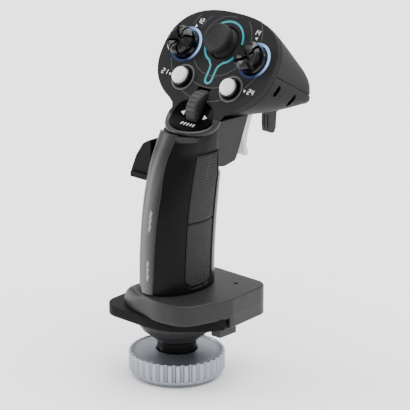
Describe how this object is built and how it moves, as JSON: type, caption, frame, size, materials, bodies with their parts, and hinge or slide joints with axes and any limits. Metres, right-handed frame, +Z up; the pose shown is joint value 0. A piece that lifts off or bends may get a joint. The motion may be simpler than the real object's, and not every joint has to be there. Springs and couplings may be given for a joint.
{
  "type": "flight stick grip",
  "caption": "Detachable flight stick grip with a hand rest, lit thumb stick and hat switches, push buttons, scroll wheel, trigger and a screw coupling ring.",
  "frame": {"origin": "centre of the coupling nut's lower face, on the axis of its thread", "axes": "+Z up along the coupling axis, -Y towards the pilot, +X to the pilot's right"},
  "size_m": [0.076, 0.1138, 0.1839],
  "materials": {
    "nut_metal": "satin anodised",
    "black_metal": "satin black",
    "steel": "brushed",
    "contact_brass": "bright",
    "insulator_black": "matte",
    "nylon": "matte",
    "dome_grey": "satin, fine grain",
    "rest_grey": "satin, fine grain",
    "rest_dark": "satin, fine grain",
    "grip_black": "satin gloss",
    "strip_grey": "satin silver grey",
    "pad_rubber": "moulded diamond texture",
    "housing_grey": "satin, fine grain",
    "face_grey": "satin grey",
    "lip_grey": "satin silver grey",
    "panel_gloss": "piano black",
    "trigger_silver": "pearl silver",
    "cap_grey": "soft matte",
    "hat_gloss": "gloss black",
    "button_white": "gloss",
    "ring_grey": "satin",
    "wheel_rubber": "ribbed",
    "inner_black": "matte",
    "gimbal_tan": "matte",
    "board_green": "solder mask",
    "cable_jacket": "matte",
    "weight_iron": "raw",
    "lever_black": "satin",
    "light_cyan": "lit",
    "light_blue": "lit"
  },
  "bodies": {
    "grip": {"slip_washer": "nylon", "neck_collar": "black_metal", "neck_lock_nut": "steel", "connector_shell": "steel", "connector_insert": "insulator_black", "connector_pins": "contact_brass", "base_dome": "dome_grey", "hand_rest_plate": "rest_dark", "hand_rest_body": "rest_grey", "hand_rest_screws": "steel", "grip_floor": "inner_black", "grip_shell_right": "grip_black", "grip_shell_left": "grip_black", "grip_shell_screws": "steel", "back_strip": "strip_grey", "lower_pad_right": "pad_rubber", "upper_pad_right": "pad_rubber", "lower_pad_left": "pad_rubber", "upper_pad_left": "pad_rubber", "thumb_rest": "rest_dark", "thumb_rest_screws": "steel", "ballast_weight": "weight_iron", "grip_circuit_board": "board_green", "wiring_loom": "cable_jacket", "trigger_housing": "housing_grey", "trigger_pin": "steel", "trigger_switch": "inner_black", "trigger_spring": "steel", "head_upper_shell": "housing_grey", "head_lower_shell": "housing_grey", "face_plate": "face_grey", "face_lip": "lip_grey", "wheel_panel": "panel_gloss", "head_circuit_board": "board_green", "board_standoffs": "contact_brass", "light_guide": "light_cyan", "hat_light_rings": "light_blue", "button_bezels": "ring_grey", "button_left_spring": "steel", "button_right_spring": "steel", "button_switches": "inner_black", "wheel_bracket": "inner_black", "sensor_bases": "inner_black", "lever_bracket": "inner_black", "lever_pin": "steel"},
    "coupling": {"coupling_nut": "nut_metal"},
    "wheel": {"wheel_tyre": "wheel_rubber", "wheel_hub": "inner_black"},
    "stick_ring": {"stick_gimbal": "gimbal_tan"},
    "stick": {"stick_cap": "cap_grey", "stick_stem": "steel"},
    "left_hat_ring": {"left_hat_gimbal": "gimbal_tan"},
    "left_hat": {"left_hat_cap": "hat_gloss"},
    "right_hat_ring": {"right_hat_gimbal": "gimbal_tan"},
    "right_hat": {"right_hat_cap": "hat_gloss"},
    "left_button": {"button_left": "button_white"},
    "right_button": {"button_right": "button_white"},
    "trigger": {"trigger_blade": "trigger_silver"},
    "front_lever": {"lever_blade": "lever_black"},
    "latch": {"rest_latch": "rest_grey"}
  },
  "joints": [
    {"name": "coupling_turn", "type": "hinge", "parent": "grip", "child": "coupling", "pos_m": [0, 0, 0.006], "axis": [0, 0, 1], "continuous": true},
    {"name": "wheel_roll", "type": "hinge", "parent": "grip", "child": "wheel", "pos_m": [0, 0.01973, 0.13786], "axis": [1, 0, 0], "continuous": true},
    {"name": "stick_up_down", "type": "hinge", "parent": "grip", "child": "stick_ring", "pos_m": [0, 0.03766, 0.16862], "axis": [1, 0, 0], "range_deg": [-12, 12], "stiffness_Nm_per_rad": 0.012},
    {"name": "stick_left_right", "type": "hinge", "parent": "stick_ring", "child": "stick", "pos_m": [0, 0.03766, 0.16862], "axis": [0, 0.5678, 0.8231], "range_deg": [-12, 12], "stiffness_Nm_per_rad": 0.012},
    {"name": "left_hat_up_down", "type": "hinge", "parent": "grip", "child": "left_hat_ring", "pos_m": [-0.0235, 0.0346, 0.16417], "axis": [1, 0, 0], "range_deg": [-8, 8], "stiffness_Nm_per_rad": 0.02},
    {"name": "left_hat_left_right", "type": "hinge", "parent": "left_hat_ring", "child": "left_hat", "pos_m": [-0.0235, 0.0346, 0.16417], "axis": [0, 0.5678, 0.8231], "range_deg": [-8, 8], "stiffness_Nm_per_rad": 0.02},
    {"name": "right_hat_up_down", "type": "hinge", "parent": "grip", "child": "right_hat_ring", "pos_m": [0.0235, 0.0346, 0.16417], "axis": [1, 0, 0], "range_deg": [-8, 8], "stiffness_Nm_per_rad": 0.02},
    {"name": "right_hat_left_right", "type": "hinge", "parent": "right_hat_ring", "child": "right_hat", "pos_m": [0.0235, 0.0346, 0.16417], "axis": [0, 0.5678, 0.8231], "range_deg": [-8, 8], "stiffness_Nm_per_rad": 0.02},
    {"name": "left_button_press", "type": "slide", "parent": "grip", "child": "left_button", "axis": [0, 0.8231, -0.5678], "range_m": [0, 0.0012], "stiffness_N_per_m": 500, "deforming": ["button_left_spring"]},
    {"name": "right_button_press", "type": "slide", "parent": "grip", "child": "right_button", "axis": [0, 0.8231, -0.5678], "range_m": [0, 0.0012], "stiffness_N_per_m": 500, "deforming": ["button_right_spring"]},
    {"name": "trigger_pull", "type": "hinge", "parent": "grip", "child": "trigger", "pos_m": [0, 0.0413, 0.1288], "axis": [-1, 0, 0], "range_deg": [0, 10], "stiffness_Nm_per_rad": 0.3, "deforming": ["trigger_spring"]},
    {"name": "front_lever_pull", "type": "hinge", "parent": "grip", "child": "front_lever", "pos_m": [0, 0.0706, 0.1284], "axis": [-1, 0, 0], "range_deg": [0, 18], "stiffness_Nm_per_rad": 0.08},
    {"name": "latch_slide", "type": "slide", "parent": "grip", "child": "latch", "axis": [0, 1, 0], "range_m": [0, 0.003]}
  ]
}
